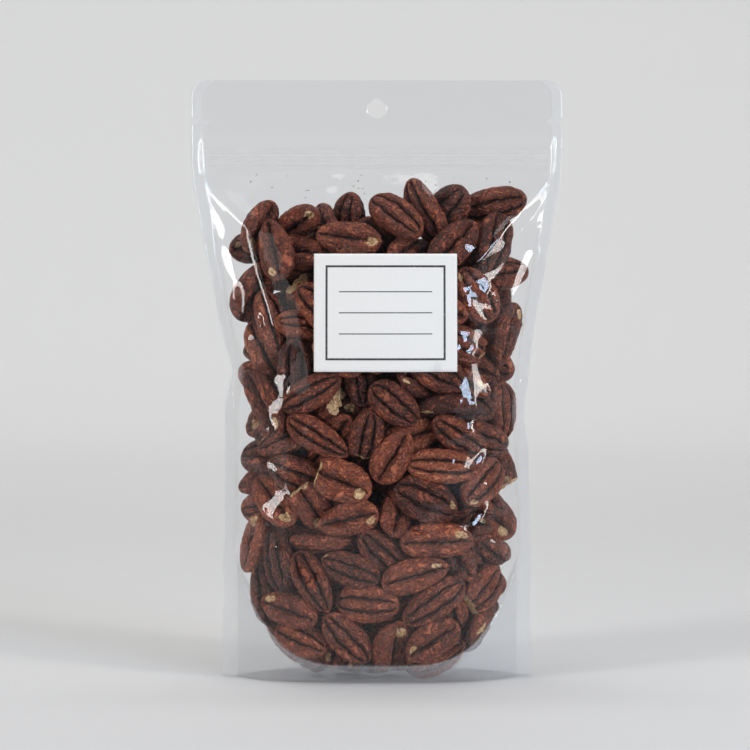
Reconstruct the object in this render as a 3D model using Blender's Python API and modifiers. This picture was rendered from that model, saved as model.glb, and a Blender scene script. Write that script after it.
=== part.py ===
"""Filled stand-up pouch: a clear zip-top pouch packed with shelled pecan halves.

Run it with  blender --background --python part.py  or from the Text Editor.
Metres, +Z up, the front of the pouch faces -Y, and the origin is under the
middle of the base. Each piece of the pouch is one closed solid. The halves
that lie against the front film are solids of their own; the rest of the
contents is five plain solids, one above the other.
"""

import math
import random

import bmesh
import bpy
import numpy as np
from mathutils import Matrix, Vector

MM = 0.001

# ---------------------------------------------------------------- the pouch
HEIGHT = 290 * MM
SIDE_SEAL = 6 * MM                # welded strip down each side
TOP_CORNER = 8 * MM               # radius of the two top corners
FILM = 0.3 * MM                   # film thickness, as solid
WELD_GAP = 0.15 * MM              # each film stops this far short of the middle plane
# Half width against height: the bulging belly draws the sides in.
WIDTH_AT = ((0, 76), (60, 75.5), (120, 75), (150, 75), (170, 77), (200, 82.5), (240, 89), (252, 90), (290, 90))
# Half depth of the belly against height, on the middle line.
DEPTH_AT = ((0, 25.5), (4, 25.5), (30, 30), (60, 32), (100, 31.5), (140, 30), (180, 26.5), (210, 21), (235, 11), (246, 2.4), (258, 2.4), (266, 0.4), (290, 0.4))
BELLY_SQUARENESS = 0.9            # 0 gives a parabola across the belly, 1 a flat-topped one

# -------------------------------------------------------- gusset and U seal
SEAL_LOW = 9 * MM                 # the U seal's lowest point, in the middle
SEAL_RISE = 47 * MM               # how far it climbs on its way to the side seals
SEAL_HALF = 68 * MM               # where it meets them
GUSSET_SAG = 14 * MM              # how far the contents press the bottom sheet down
GUSSET_GAP = 1.0 * MM             # clear of the inside of the films

# ---------------------------------------------------------- zipper and label
ZIP_HEIGHT = 252 * MM
ZIP_HALF_WIDTH = 83 * MM
ZIP_BAND = 9 * MM
ZIP_PLATE = 0.5 * MM
ZIP_BEAD = 1.4 * MM               # arrow-headed bead of the front track
ZIP_CLEAR = 0.3 * MM
ZIP_WALL = 2.4 * MM               # the films stand this far out over the tracks
ZIP_WALL_AT = ((238, 0), (246, 2.4), (258, 2.4), (266, 0))
LABEL_LEFT, LABEL_RIGHT = -30 * MM, 38 * MM
LABEL_LOW, LABEL_HIGH = 150 * MM, 206 * MM
LABEL_THICK = 0.3 * MM
LABEL_GAP = 0.6 * MM
HANG_HOLE_RADIUS = 4.35 * MM
HANG_HOLE_HEIGHT = 276 * MM
NOTCH_HEIGHT = 270 * MM
NOTCH_DEEP = 3 * MM
NOTCH_SIZE = 3 * MM               # from the middle of the three-sided cutter to its tip

# ---------------------------------------------------------------- contents
HALVES = 254                      # in the whole pouch
FRONT_HALVES = 46                 # the front-most, made one by one
FILL_BLOCKS = 5
FILL_BOTTOM, FILL_TOP = 12 * MM, 232 * MM
FILL_INSET = 12 * MM              # the blocks stop this far from the side seals
FILL_GAP = 0.6 * MM
HALF_LENGTH, HALF_WIDTH, HALF_THICK = 31.4 * MM, 15.4 * MM, 9.1 * MM
GROOVE = 0.16                     # depth of the two grooves, against half the thickness
FLAT_SIDE = 0.85                  # the flatter side's height, against the domed side's
# A half is packed as five pairs of balls: how far along, how far to each side, radius.
BALLS = ((-12.4, 1.0, 3.9), (-6.4, 2.7, 4.6), (0.0, 3.3, 4.9), (6.4, 2.7, 4.6), (12.4, 1.0, 3.9))
BALL_CLEAR = 0.35                 # kept clear round each ball, mm
PACK_STEPS = 1100
SETTLE = 0.05                     # how far each half sinks at the first step, mm; it fades to none halfway
PACK_SEED = 7


def clear_scene():
    for obj in list(bpy.data.objects):
        bpy.data.objects.remove(obj, do_unlink=True)


def make_collection(name):
    collection = bpy.data.collections.new(name)
    bpy.context.scene.collection.children.link(collection)
    return collection


def material(name, colour, roughness, metallic=0.0, alpha=1.0):
    made = bpy.data.materials.new(name)
    made.use_nodes = True
    shader = made.node_tree.nodes["Principled BSDF"]
    shader.inputs["Base Color"].default_value = (*colour, 1)
    shader.inputs["Roughness"].default_value = roughness
    shader.inputs["Metallic"].default_value = metallic
    shader.inputs["Alpha"].default_value = alpha
    made.diffuse_color = (*colour, alpha)
    return made


def add_mesh(collection, name, work, finish):
    """One object from a bmesh, shaded smooth except over sharp edges."""
    bmesh.ops.recalc_face_normals(work, faces=work.faces)
    mesh = bpy.data.meshes.new(name)
    work.to_mesh(mesh)
    work.free()
    mesh.shade_smooth()
    mesh.set_sharp_from_angle(angle=math.radians(40))
    mesh.materials.append(finish)
    obj = bpy.data.objects.new(name, mesh)
    collection.objects.link(obj)
    return obj


def sheet(columns, rows, place):
    """A flat grid whose corners are moved: place(column, row) gives each one's (x, y, z)."""
    work = bmesh.new()
    bmesh.ops.create_grid(work, x_segments=columns - 1, y_segments=rows - 1, size=1)
    for vert in work.verts:
        column = round((vert.co.x + 1) / 2 * (columns - 1))
        row = round((vert.co.y + 1) / 2 * (rows - 1))
        vert.co = place(column, row)
    return work


def thicken(obj, thickness, inward):
    """Gives an open sheet its thickness, towards the inside or the outside of the pouch."""
    solidify = obj.modifiers.new("thickness", "SOLIDIFY")
    solidify.thickness = thickness
    solidify.offset = -1 if inward else 1
    solidify.use_even_offset = True


def turn_outwards(work, outward):
    """Turns an open sheet's faces so that they point the way outward(face centre) does."""
    for face in work.faces:
        face.normal_update()
    if sum(face.normal.dot(outward(face.calc_center_median())) for face in work.faces) < 0:
        bmesh.ops.reverse_faces(work, faces=work.faces)


# -------------------------------------------------- the shape of the pouch
# These four work on numbers and on arrays alike, in millimetres, because the
# packing below calls them thousands of times.

def table(at):
    return [row[0] for row in at], [row[1] for row in at]


def half_width(z):
    return np.interp(z, *table(WIDTH_AT))


def half_depth(x, z):
    """Inside of the film from the middle plane, at a place on the front."""
    u = np.clip(x / (half_width(z) - SIDE_SEAL / MM), -1, 1)
    uu = u * u
    return np.interp(z, *table(DEPTH_AT)) * (1 - uu) * (1 + BELLY_SQUARENESS * uu)


def seal_height(x):
    """The U seal: a quartic, flat in the middle and steep at the sides."""
    u = x / (SEAL_HALF / MM)
    return (SEAL_LOW + SEAL_RISE * u * u * u * u) / MM


def bottom_height(x, y):
    """The bottom sheet, pressed down between the front and back U seals."""
    rim = seal_height(x)
    v = np.clip(y / (half_depth(x, rim) + 0.1), -1, 1)
    u = np.clip(x / (SEAL_HALF / MM), -1, 1)
    sag = 1 - v * v
    return np.maximum(rim - GUSSET_SAG / MM * sag * sag * (1 - u * u), FILM / MM)


def outline(z):
    """Half width in metres, with the top corners rounded."""
    width = float(half_width(z / MM)) * MM
    over = z - (HEIGHT - TOP_CORNER)
    if over > 0:
        width -= TOP_CORNER - math.sqrt(max(TOP_CORNER ** 2 - over ** 2, 0))
    return width


# ----------------------------------------------------------- pouch pieces

def film_rows():
    """Heights of the film's cross lines, closer together over the zipper and round the top corners."""
    belly = [z * MM for z in (0, 4, 14, 30, 50, 74, 100, 125, 148, 170, 190, 208, 222, 235, 246, 258, 266)]
    corner = [HEIGHT - TOP_CORNER + TOP_CORNER * math.sin(math.radians(a)) for a in (0, 35, 65, 88)]
    return belly + corner


def film_columns():
    """Places across the front: -1 and 1 are the inner edges of the side seals, and -2 and 2 the outer edges."""
    even = [i / 6 for i in range(-6, 7)]
    return [-2] + [f * (1.5 - 0.5 * f * f) for f in even] + [2]


def film_point(column, z):
    """A place on the outside of the film: across, away from the middle plane, and up."""
    edge = outline(z)
    if abs(column) == 2:
        return math.copysign(edge, column), WELD_GAP + FILM, z
    x = (edge - SIDE_SEAL) * column
    depth = max(float(half_depth(x / MM, z / MM)), float(np.interp(z / MM, *table(ZIP_WALL_AT))))
    return x, depth * MM + WELD_GAP + FILM, z


def add_film(collection, name, side, finish):
    """The front film (side -1) or the back film (side 1), open at the bottom edge."""
    columns, rows = film_columns(), film_rows()

    def place(column, row):
        x, out, z = film_point(columns[column], rows[row])
        return x, side * out, z

    work = sheet(len(columns), len(rows), place)
    turn_outwards(work, lambda centre: Vector((0, side, 0)))
    obj = add_open_sheet(collection, name, work, finish)
    thicken(obj, FILM, inward=True)
    return obj


def add_open_sheet(collection, name, work, finish):
    """Like add_mesh, but keeps the side that the sheet's faces already point to."""
    mesh = bpy.data.meshes.new(name)
    work.to_mesh(mesh)
    work.free()
    mesh.shade_smooth()
    mesh.materials.append(finish)
    obj = bpy.data.objects.new(name, mesh)
    collection.objects.link(obj)
    return obj


def gusset_point(u, v):
    """The bottom sheet: v from -1 to 1 crosses the base between the two U seals, and beyond that runs down a skirt."""
    x = u * SEAL_HALF
    rim = float(seal_height(x / MM)) * MM
    z = rim * min(2 - abs(v), 1)
    edge = float(half_depth(x / MM, z / MM)) * MM - GUSSET_GAP - FILM
    if abs(v) > 1:
        return x, math.copysign(edge, v), z
    return x, v * edge, float(bottom_height(x / MM, v * edge / MM)) * MM - FILM


def add_gusset(collection, finish):
    """One sheet: up behind the front skirt, across the base, where it is pressed flat, and down inside the back skirt."""
    columns = [i / 9 for i in range(-9, 10)]
    across = [-2, -1.5, -1, -0.75, -0.5, -0.25, 0, 0.25, 0.5, 0.75, 1, 1.5, 2]
    work = sheet(len(columns), len(across), lambda column, row: gusset_point(columns[column], across[row]))
    middle = [face for face in work.faces if face.calc_center_median().z < 0.1 * MM]
    for face in work.faces:
        face.normal_update()
    if sum(face.normal.z for face in middle) > 0:
        bmesh.ops.reverse_faces(work, faces=work.faces)
    obj = add_open_sheet(collection, "bottom_gusset", work, finish)
    thicken(obj, FILM, inward=True)
    return obj


def add_profile(collection, name, outline_yz, finish):
    """A closed (y, z) outline as a filled curve, carried across the pouch."""
    curve = bpy.data.curves.new(name, "CURVE")
    curve.dimensions = "2D"
    curve.fill_mode = "BOTH"
    curve.extrude = ZIP_HALF_WIDTH
    spline = curve.splines.new("POLY")
    spline.points.add(len(outline_yz) - 1)
    for point, (y, z) in zip(spline.points, outline_yz):
        point.co = (y, z - ZIP_HEIGHT, 0, 1)
    spline.use_cyclic_u = True
    curve.materials.append(finish)
    obj = bpy.data.objects.new(name, curve)
    # The curve's own X and Y become the pouch's Y and Z.
    obj.rotation_euler = (math.radians(90), 0, math.radians(90))
    obj.location = (0, 0, ZIP_HEIGHT)
    collection.objects.link(obj)
    return obj


def add_zipper(collection, finish):
    """Two tracks: a plate with an arrow-headed bead in front, and a plate with two hooked lips behind."""
    low, high = ZIP_HEIGHT - ZIP_BAND / 2, ZIP_HEIGHT + ZIP_BAND / 2
    wall = ZIP_WALL - ZIP_CLEAR
    plate = wall - ZIP_PLATE
    neck, head = ZIP_BEAD * 0.25, ZIP_BEAD * 0.5
    hook = 0.2 * MM                       # where the bead's head and the lips' hooks pass each other
    tip = plate - ZIP_CLEAR
    upper = [(-wall, high), (-plate, high), (-plate, ZIP_HEIGHT + neck), (hook, ZIP_HEIGHT + neck)]
    upper += [(hook, ZIP_HEIGHT + head), (tip, ZIP_HEIGHT + neck)]
    front = upper + [(y, 2 * ZIP_HEIGHT - z) for y, z in reversed(upper)]
    add_profile(collection, "zipper_front_track", front, finish)
    lip = head + ZIP_CLEAR
    lip_wall, lip_tip = 0.6 * MM, -1.1 * MM
    upper = [(wall, high), (plate, high), (plate, ZIP_HEIGHT + lip + lip_wall), (lip_tip, ZIP_HEIGHT + lip + lip_wall)]
    upper += [(lip_tip, ZIP_HEIGHT + neck + ZIP_CLEAR), (hook - ZIP_CLEAR, ZIP_HEIGHT + neck + ZIP_CLEAR)]
    upper += [(hook - ZIP_CLEAR, ZIP_HEIGHT + lip), (plate, ZIP_HEIGHT + lip)]
    back = upper + [(y, 2 * ZIP_HEIGHT - z) for y, z in reversed(upper)]
    add_profile(collection, "zipper_back_track", back, finish)


def add_label(collection, finish):
    """A paper label on the outside of the front film, following its bulge."""
    columns, rows = 8, 6

    def place(column, row):
        x = LABEL_LEFT + (LABEL_RIGHT - LABEL_LEFT) * column / (columns - 1)
        z = LABEL_LOW + (LABEL_HIGH - LABEL_LOW) * row / (rows - 1)
        return x, -float(half_depth(x / MM, z / MM)) * MM - WELD_GAP - FILM - LABEL_GAP, z

    work = sheet(columns, rows, place)
    turn_outwards(work, lambda centre: Vector((0, -1, 0)))
    obj = add_open_sheet(collection, "label", work, finish)
    thicken(obj, LABEL_THICK, inward=False)
    return obj


def add_cutters(collection, films, finish):
    """The hang hole and the two tear notches, cut through both films."""
    def prism(name, sides, radius, location, turn):
        work = bmesh.new()
        bmesh.ops.create_cone(work, cap_ends=True, segments=sides, radius1=radius, radius2=radius, depth=20 * MM)
        cutter = add_mesh(collection, name, work, finish)
        cutter.rotation_euler = (math.radians(90), turn, 0)
        cutter.location = location
        cutter.hide_render = True
        cutter.display_type = "WIRE"
        return cutter

    edge = outline(NOTCH_HEIGHT) + NOTCH_SIZE - NOTCH_DEEP
    cutters = [prism("hang_hole_cutter", 24, HANG_HOLE_RADIUS, (0, 0, HANG_HOLE_HEIGHT), 0)]
    cutters.append(prism("notch_cutter_left", 3, NOTCH_SIZE, (-edge, 0, NOTCH_HEIGHT), math.radians(90)))
    cutters.append(prism("notch_cutter_right", 3, NOTCH_SIZE, (edge, 0, NOTCH_HEIGHT), math.radians(-90)))
    for cutter in cutters:
        for film in films:
            cut = film.modifiers.new(cutter.name, "BOOLEAN")
            cut.object = cutter
            cut.operation = "DIFFERENCE"
            cut.solver = "EXACT"


# ---------------------------------------------------------------- packing
# Loose halves are laid out by geometry alone: each starts at a random place
# and is nudged off its neighbours and off the film, a little at a time, until
# none overlap. Only +, -, *, / and square roots are used on the way, so every
# computer ends with the same layout.

def dot(a, b):
    return a[..., 0] * b[..., 0] + a[..., 1] * b[..., 1] + a[..., 2] * b[..., 2]


def cross(a, b):
    return np.stack((a[..., 1] * b[..., 2] - a[..., 2] * b[..., 1],
                     a[..., 2] * b[..., 0] - a[..., 0] * b[..., 2],
                     a[..., 0] * b[..., 1] - a[..., 1] * b[..., 0]), -1)


def unit(a):
    return a / np.sqrt(dot(a, a))[..., None]


def scatter(count, chance):
    """Random starting places, lengthwise and crosswise directions, and sizes, in millimetres."""
    place, along, up, size = [], [], [], []
    while len(place) < count:
        x, y, z = chance.uniform(-70, 70), chance.uniform(-30, 30), chance.uniform(12, 236)
        if abs(y) > half_depth(x, z) - 3 or z < bottom_height(x, y) + 4:
            continue
        turn = math.radians(chance.gauss(0, 42))
        place.append((x, y, z))
        along.append((math.cos(turn), chance.gauss(0, 0.18), math.sin(turn)))
        up.append((chance.gauss(0, 0.3), chance.choice((-1, 1)), chance.gauss(0, 0.3)))
        size.append(chance.uniform(0.9, 1.1))
    place, along, up, size = (np.round(np.array(a, float), 6) for a in (place, along, up, size))
    along = unit(along)
    return place, along, unit(cross(up, along)), size


def wall_pushes(points, radius):
    """Moves that bring balls back inside the film and above the bottom sheet, and which balls they are."""
    x, y, z = points[..., 0], points[..., 1], points[..., 2]
    e = 0.5
    slope_x = (half_depth(x + e, z) - half_depth(x - e, z)) / (2 * e)
    slope_z = (half_depth(x, z + e) - half_depth(x, z - e)) / (2 * e)
    steep = np.sqrt(1 + slope_x * slope_x + slope_z * slope_z)
    over = np.clip(np.abs(y) - half_depth(x, z) + radius * steep, 0, 20) / steep
    side = np.where(y > 0, 1.0, -1.0)
    move = np.stack((slope_x, -side, slope_z), -1) * (over / steep)[..., None]
    slope_x = (bottom_height(x + e, y) - bottom_height(x - e, y)) / (2 * e)
    slope_y = (bottom_height(x, y + e) - bottom_height(x, y - e)) / (2 * e)
    steep = np.sqrt(1 + slope_x * slope_x + slope_y * slope_y)
    under = np.clip(bottom_height(x, y) - z + radius * steep, 0, 20) / steep
    move += np.stack((-slope_x, -slope_y, np.ones_like(x)), -1) * (under / steep)[..., None]
    return move, (over > 0).astype(float) + (under > 0)


def add_up(count, index, vectors):
    """The sum of the vectors that share each index."""
    return np.stack([np.bincount(index, weights=vectors[:, axis], minlength=count) for axis in range(3)], -1)


def pack_halves():
    """Centres, lengthwise and crosswise directions, and sizes of all the halves."""
    place, along, across, size = scatter(HALVES, random.Random(PACK_SEED))
    rows = [(x, side * y, r) for x, y, r in BALLS for side in (-1, 1)]
    offset = np.array([row[:2] for row in rows])[None] * size[:, None, None]
    radius = np.array([row[2] for row in rows])[None] * size[:, None] + BALL_CLEAR
    balls, reach = radius.size, radius.ravel()
    for step in range(PACK_STEPS):
        arm = offset[..., 0:1] * along[:, None] + offset[..., 1:2] * across[:, None]
        ball = place[:, None] + arm
        flat = ball.reshape(-1, 3)
        if step % 8 == 0:
            # Only balls this close can meet in the next few steps.
            apart = place[:, None] - place[None]
            first, second = np.nonzero(np.triu(dot(apart, apart) < 38 * 38, 1))
            gap = ball[first][:, :, None] - ball[second][:, None]
            limit = radius[first][:, :, None] + radius[second][:, None] + 2.5
            pair, of_first, of_second = np.nonzero(dot(gap, gap) < limit * limit)
            one, other = first[pair] * len(rows) + of_first, second[pair] * len(rows) + of_second
        gap = flat[one] - flat[other]
        far = np.sqrt(dot(gap, gap)) + 1e-9
        deep = np.maximum(reach[one] + reach[other] - far, 0)
        push = gap * (0.5 * deep / far)[:, None]
        met = (deep > 0).astype(float)
        move, touching = wall_pushes(ball, radius)
        move = move + (add_up(balls, one, push) - add_up(balls, other, push)).reshape(ball.shape)
        touching = touching + (np.bincount(one, met, balls) + np.bincount(other, met, balls)).reshape(touching.shape)
        shift, spin = np.zeros_like(place), np.zeros_like(place)
        contacts, inertia = np.zeros(len(place)), np.zeros(len(place))
        for k in range(len(rows)):
            shift += move[:, k]
            spin += cross(arm[:, k], move[:, k])
            contacts += touching[:, k]
            inertia += touching[:, k] * dot(arm[:, k], arm[:, k])
        place = place + 1.6 * shift / np.maximum(contacts, 1)[:, None]
        turn = 1.6 * spin / (inertia + 60)[:, None]
        place[:, 2] -= SETTLE * max(1 - step / (0.5 * PACK_STEPS), 0)
        along = unit(along + cross(turn, along))
        across = across + cross(turn, across)
        across = unit(across - along * dot(along, across)[:, None])
    print("deepest overlap left between balls, mm:", round(float(deep.max()), 2))
    return place, along, across, size


def half_mesh(finish):
    """The shape that every half shares, one unit long, wide and thick each way from its middle."""
    work = bmesh.new()
    bmesh.ops.create_uvsphere(work, u_segments=12, v_segments=6, radius=1, matrix=Matrix.Rotation(math.radians(90), 4, "Y"))
    for vert in work.verts:
        x, y, z = vert.co
        girth = math.sqrt(max(1 - x * x, 0))
        if girth > 0.01:
            groove = GROOVE if z > 0 and abs(abs(y / girth) - 0.5) < 0.1 else 0
            flat = 1 if z > 0 else FLAT_SIDE
            # Blunter ends than an ellipse, one side flatter, and two grooves along the domed side.
            vert.co.y = y * girth ** -0.2
            vert.co.z = (z * flat - groove * girth) * girth ** -0.3
    bmesh.ops.recalc_face_normals(work, faces=work.faces)
    mesh = bpy.data.meshes.new("pecan_half")
    work.to_mesh(mesh)
    work.free()
    mesh.shade_smooth()
    mesh.materials.append(finish)
    return mesh


def add_front_halves(collection, packed, finish):
    """The halves nearest the front film, numbered from the top left."""
    place, along, across, size = packed
    from_film = place[:, 1] + half_depth(place[:, 0], place[:, 2])
    nearest = np.argsort(from_film, kind="stable")[:FRONT_HALVES]
    chosen = sorted(nearest, key=lambda i: (-round(float(place[i, 2]) / 24), float(place[i, 0])))
    mesh = half_mesh(finish)
    for number, i in enumerate(chosen, 1):
        half = bpy.data.objects.new(f"pecan_half_{number:02d}", mesh)
        axes = Matrix((along[i], across[i], cross(along[i], across[i]))).transposed()
        reach = Matrix.Diagonal(Vector((HALF_LENGTH, HALF_WIDTH, HALF_THICK)) / 2 * float(size[i]))
        half.matrix_world = Matrix.Translation(Vector(place[i]) * MM) @ (axes @ reach).to_4x4()
        collection.objects.link(half)
    return chosen


def add_fill(collection, packed, chosen, finish):
    """The contents behind the front halves: solids that stop just short of them and of the back film."""
    place, along, across, size = packed
    balls = []
    for i in chosen:
        for x, y, r in BALLS:
            for side in (-1, 1):
                balls.append((*(place[i] + size[i] * (x * along[i] + side * y * across[i])), r * size[i]))
    balls = np.array(balls)
    columns, rows = 13, 5
    tall = (FILL_TOP - FILL_BOTTOM) / FILL_BLOCKS
    for block in range(FILL_BLOCKS):
        low = (FILL_BOTTOM + block * tall) / MM
        high = low + (tall - FILL_GAP) / MM
        half = float(half_width(low)) - (SIDE_SEAL + FILL_INSET) / MM

        def corner(column, row, behind):
            x = half * (2 * column / (columns - 1) - 1)
            foot = max(low, float(seal_height(x)) + 2)
            z = foot + (high - foot) * row / (rows - 1)
            rear = float(half_depth(x, z)) - 1.2
            # The front of the block stays behind every ball that a cell away could hold.
            apart = np.maximum(np.abs(balls[:, 0] - x), np.abs(balls[:, 2] - z))
            near = balls[apart < balls[:, 3] + 12]
            face = min(max([-rear] + [float(b[1] + b[3]) + 0.6 for b in near]), rear - 1.5)
            return x * MM, (rear if behind else face) * MM, z * MM

        work = bmesh.new()
        bmesh.ops.create_grid(work, x_segments=columns - 1, y_segments=rows - 1, size=1)
        made = bmesh.ops.extrude_face_region(work, geom=work.faces[:])
        for vert in made["geom"]:
            if isinstance(vert, bmesh.types.BMVert):
                vert.co.z = 1
        for vert in work.verts:
            column = round((vert.co.x + 1) / 2 * (columns - 1))
            row = round((vert.co.y + 1) / 2 * (rows - 1))
            vert.co = corner(column, row, behind=vert.co.z > 0.5)
        add_mesh(collection, f"pecan_fill_{block + 1}", work, finish)


def main():
    clear_scene()
    pouch = make_collection("stand_up_pouch_of_pecan_halves")
    cutters = make_collection("cutters")
    film = material("clear_film", (0.85, 0.87, 0.88), 0.12, alpha=0.3)
    track = material("zipper_plastic", (0.8, 0.82, 0.83), 0.3, alpha=0.6)
    paper = material("label_paper", (0.9, 0.9, 0.89), 0.55)
    kernel = material("pecan_kernel", (0.22, 0.055, 0.022), 0.45)

    films = [add_film(pouch, "front_film", -1, film), add_film(pouch, "back_film", 1, film)]
    add_cutters(cutters, films, track)
    add_gusset(pouch, film)
    add_zipper(pouch, track)
    add_label(pouch, paper)

    packed = pack_halves()
    chosen = add_front_halves(pouch, packed, kernel)
    add_fill(pouch, packed, chosen, kernel)


main()
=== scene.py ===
# %% [markdown]
# # A clear stand-up pouch, packed with pecan halves
# The pouch is two sheets of clear film welded down the sides, a third sheet folded in as a
# standing base, and a zipper under a header with a hang hole. About 250 shelled halves fill it.
# Everything seen is either a half or a reflection, so those two get the most work: the halves
# are sculpted one by one, and the film is drawn tight over them so that it mirrors the lights
# in broken patches, as thin plastic does.

# %% Load the frame
import math
import random

import bmesh
import bpy
import numpy as np
from mathutils import Matrix, Vector, noise


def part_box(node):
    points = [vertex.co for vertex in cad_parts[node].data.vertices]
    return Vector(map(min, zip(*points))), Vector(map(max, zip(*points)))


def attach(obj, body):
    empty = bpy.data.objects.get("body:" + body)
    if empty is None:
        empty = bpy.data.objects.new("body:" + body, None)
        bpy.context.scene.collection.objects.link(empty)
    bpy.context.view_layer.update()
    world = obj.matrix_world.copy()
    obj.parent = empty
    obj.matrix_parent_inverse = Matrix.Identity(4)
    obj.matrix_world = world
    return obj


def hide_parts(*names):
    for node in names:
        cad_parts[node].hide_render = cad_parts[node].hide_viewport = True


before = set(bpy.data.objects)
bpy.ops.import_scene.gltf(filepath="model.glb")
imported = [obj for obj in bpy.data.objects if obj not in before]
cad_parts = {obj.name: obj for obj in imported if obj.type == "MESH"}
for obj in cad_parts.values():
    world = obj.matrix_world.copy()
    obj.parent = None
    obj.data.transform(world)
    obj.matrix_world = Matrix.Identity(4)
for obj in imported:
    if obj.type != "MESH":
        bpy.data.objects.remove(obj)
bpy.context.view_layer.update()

MM = 0.001

# %% [markdown]
# ## A short way to write shaders
# Node trees are easier to read as sums. `Wire` is one output socket, and adding, multiplying or
# subtracting wires lays down the Math nodes. `Finish` is a material, and its `add` makes any
# other node from its type, its settings and what goes into its sockets. `object_from` turns a
# finished shape into an object.

# %% Wires and finishes
class Wire:
    """An output socket that can stand in an expression."""

    def __init__(self, finish, socket):
        self.finish, self.socket = finish, socket

    def maths(self, operation, *others):
        inputs = dict(enumerate((self,) + others))
        return self.finish.add("Math", {"operation": operation}, inputs)

    def __add__(self, other):
        return self.maths("ADD", other)

    def __sub__(self, other):
        return self.maths("SUBTRACT", other)

    def __mul__(self, other):
        return self.maths("MULTIPLY", other)

    def __rsub__(self, other):
        return self.finish.add("Math", {"operation": "SUBTRACT"}, {0: other, 1: self})

    def __pow__(self, other):
        return self.maths("POWER", other)

    __radd__, __rmul__ = __add__, __mul__

    def clamped(self):
        return self.maths("MINIMUM", 1.0).maths("MAXIMUM", 0.0)

    def between(self, low, high):
        """0 below low, 1 above high, with a smooth step."""
        settings = {"interpolation_type": "SMOOTHSTEP"}
        return self.finish.add("MapRange", settings, {0: self, 1: low, 2: high})


class Finish:
    """A material being made."""

    def __init__(self, name):
        self.material = bpy.data.materials.new(name)
        self.material.use_nodes = True
        self.tree = self.material.node_tree
        self.tree.nodes.clear()

    def add(self, kind, settings=None, inputs=None, output=0):
        node = self.tree.nodes.new("ShaderNode" + kind)
        for key, value in (settings or {}).items():
            if key == "stops":
                ramp = node.color_ramp.elements
                while len(ramp) < len(value):
                    ramp.new(0.5)
                for stop, (place, colour) in zip(ramp, value):
                    stop.position, stop.color = place, (*colour, 1)
            else:
                setattr(node, key, value)
        for key, value in (inputs or {}).items():
            if isinstance(value, Wire):
                self.tree.links.new(value.socket, node.inputs[key])
            else:
                node.inputs[key].default_value = value
        return Wire(self, node.outputs[output]) if node.outputs else node

    def noise(self, vector, scale, detail=2.0, roughness=0.5):
        inputs = {"Vector": vector, "Scale": scale, "Detail": detail, "Roughness": roughness}
        return self.add("TexNoise", None, inputs)

    def mix(self, amount, first, second):
        """Two colours mixed."""
        return self.add("Mix", {"data_type": "RGBA"}, {0: amount, 6: first, 7: second}, 2)

    def attribute(self, name, output="Fac"):
        return self.add("Attribute", {"attribute_name": name}, None, output)

    def bump(self, height, strength, distance):
        return self.add("Bump", None, {"Height": height, "Strength": strength, "Distance": distance})

    def done(self, surface):
        self.add("OutputMaterial", None, {"Surface": surface})
        return self.material


def object_from(work, name, material, smooth=True):
    """An object in the scene, made of the shape being worked on."""
    mesh = bpy.data.meshes.new(name)
    work.to_mesh(mesh)
    work.free()
    if smooth:
        mesh.shade_smooth()
    mesh.materials.append(material)
    obj = bpy.data.objects.new(name, mesh)
    bpy.context.scene.collection.objects.link(obj)
    return obj


# %% [markdown]
# ## Camera
# The pouch is seen a little from above, from about a metre away with a long lens, so that its
# sides stay nearly upright.

# %% Camera
CAMERA_PLACE, CAMERA_DOWN, LENS = (-0.001, -1.1, 0.2), 2.75, 108.5     # metres, degrees, mm

camera = bpy.data.objects.new("camera", bpy.data.cameras.new("camera"))
bpy.context.scene.collection.objects.link(camera)
camera.location = CAMERA_PLACE
camera.rotation_euler = (math.radians(90 - CAMERA_DOWN), 0, 0)
camera.data.sensor_width, camera.data.lens = 36, LENS
bpy.context.scene.camera = camera
print("camera, m from the pouch:", -CAMERA_PLACE[1], " degrees down:", CAMERA_DOWN)

# %% [markdown]
# ## Backdrop
# The backdrop is one pale bowl, a floor that curves up into a wall all round, so that no horizon shows
# through the clear film. Its near side, which only the film's reflections see, is painted dark, a painted
# shade, or the whole front of the pouch would mirror a white room and turn milky. The wall behind is painted
# paler than the floor, painted light that makes up for the light that reaches it less.

# %% Backdrop
FLOOR_RADIUS, BEND, WALL_ABOVE, FLOOR_DROP = 1.3, 0.75, 1.9, 0.0004     # metres


def backdrop_paper():
    paper = Finish("backdrop_paper")
    where = paper.add("TexCoord", None, None, "Object")
    backwards = paper.add("SeparateXYZ", None, {0: where}, 1)
    # Painted light: the wall is painted paler than the floor, to make up for the light it lacks.
    painted_wall_light = paper.mix(backwards.between(0.4, 1.65), (0.62, 0.62, 0.622, 1), (0.8, 0.798, 0.795, 1))
    return paper.done(paper.add("BsdfPrincipled", None, {
        # Painted shade: the near side, seen only in the film's reflections, is painted dark.
        "Base Color": paper.mix(backwards.between(-1.5, -0.25), (0.14, 0.142, 0.148, 1), painted_wall_light),
        "Roughness": 0.75,
        "Specular IOR Level": 0.25,
    }))


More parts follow.
